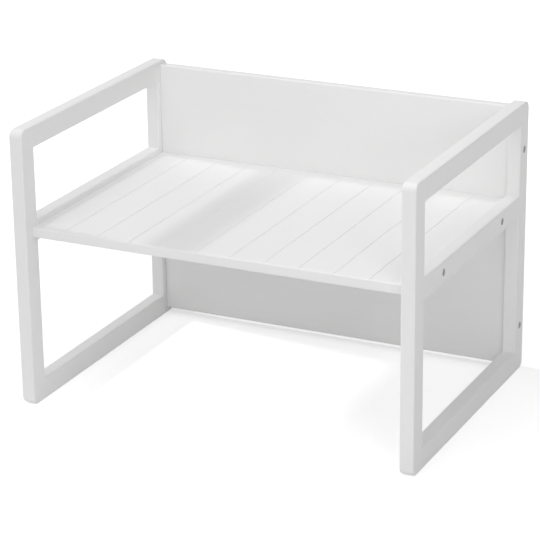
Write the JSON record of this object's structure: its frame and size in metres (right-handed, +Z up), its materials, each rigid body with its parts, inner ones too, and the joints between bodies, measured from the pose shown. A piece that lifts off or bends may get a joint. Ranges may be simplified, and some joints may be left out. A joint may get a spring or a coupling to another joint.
{
  "type": "monks bench",
  "caption": "Small painted wooden bench with open rectangular side frames, a grooved seat board and a plain full-height back board, held by recessed bolts through the frames.",
  "frame": {"origin": "on the floor, under the middle of the bench's bounding box", "axes": "+X to the right as seen from the front, +Y towards the back board, +Z up"},
  "size_m": [0.65, 0.456, 0.44],
  "materials": {
    "paint": "satin off-white paint over wood",
    "timber": "bare turned wood",
    "steel": "zinc-plated steel"
  },
  "bodies": {
    "root": {"seat_board": "paint", "back_board": "paint", "left_front_leg": "paint", "left_rear_leg": "paint", "left_top_rail": "paint", "left_seat_rail": "paint", "left_bottom_rail": "paint", "left_dowel_top_rail_front_lower": "timber", "left_dowel_top_rail_front_upper": "timber", "left_dowel_top_rail_rear_lower": "timber", "left_dowel_top_rail_rear_upper": "timber", "left_dowel_seat_rail_front_lower": "timber", "left_dowel_seat_rail_front_upper": "timber", "left_dowel_seat_rail_rear_lower": "timber", "left_dowel_seat_rail_rear_upper": "timber", "left_dowel_bottom_rail_front_lower": "timber", "left_dowel_bottom_rail_front_upper": "timber", "left_dowel_bottom_rail_rear_lower": "timber", "left_dowel_bottom_rail_rear_upper": "timber", "left_seat_bolt_front": "steel", "left_seat_nut_front": "steel", "left_seat_bolt_rear": "steel", "left_seat_nut_rear": "steel", "left_back_bolt_lower": "steel", "left_back_nut_lower": "steel", "left_back_bolt_upper": "steel", "left_back_nut_upper": "steel", "right_front_leg": "paint", "right_rear_leg": "paint", "right_top_rail": "paint", "right_seat_rail": "paint", "right_bottom_rail": "paint", "right_dowel_top_rail_front_lower": "timber", "right_dowel_top_rail_front_upper": "timber", "right_dowel_top_rail_rear_lower": "timber", "right_dowel_top_rail_rear_upper": "timber", "right_dowel_seat_rail_front_lower": "timber", "right_dowel_seat_rail_front_upper": "timber", "right_dowel_seat_rail_rear_lower": "timber", "right_dowel_seat_rail_rear_upper": "timber", "right_dowel_bottom_rail_front_lower": "timber", "right_dowel_bottom_rail_front_upper": "timber", "right_dowel_bottom_rail_rear_lower": "timber", "right_dowel_bottom_rail_rear_upper": "timber", "right_seat_bolt_front": "steel", "right_seat_nut_front": "steel", "right_seat_bolt_rear": "steel", "right_seat_nut_rear": "steel", "right_back_bolt_lower": "steel", "right_back_nut_lower": "steel", "right_back_bolt_upper": "steel", "right_back_nut_upper": "steel"}
  },
  "joints": []
}
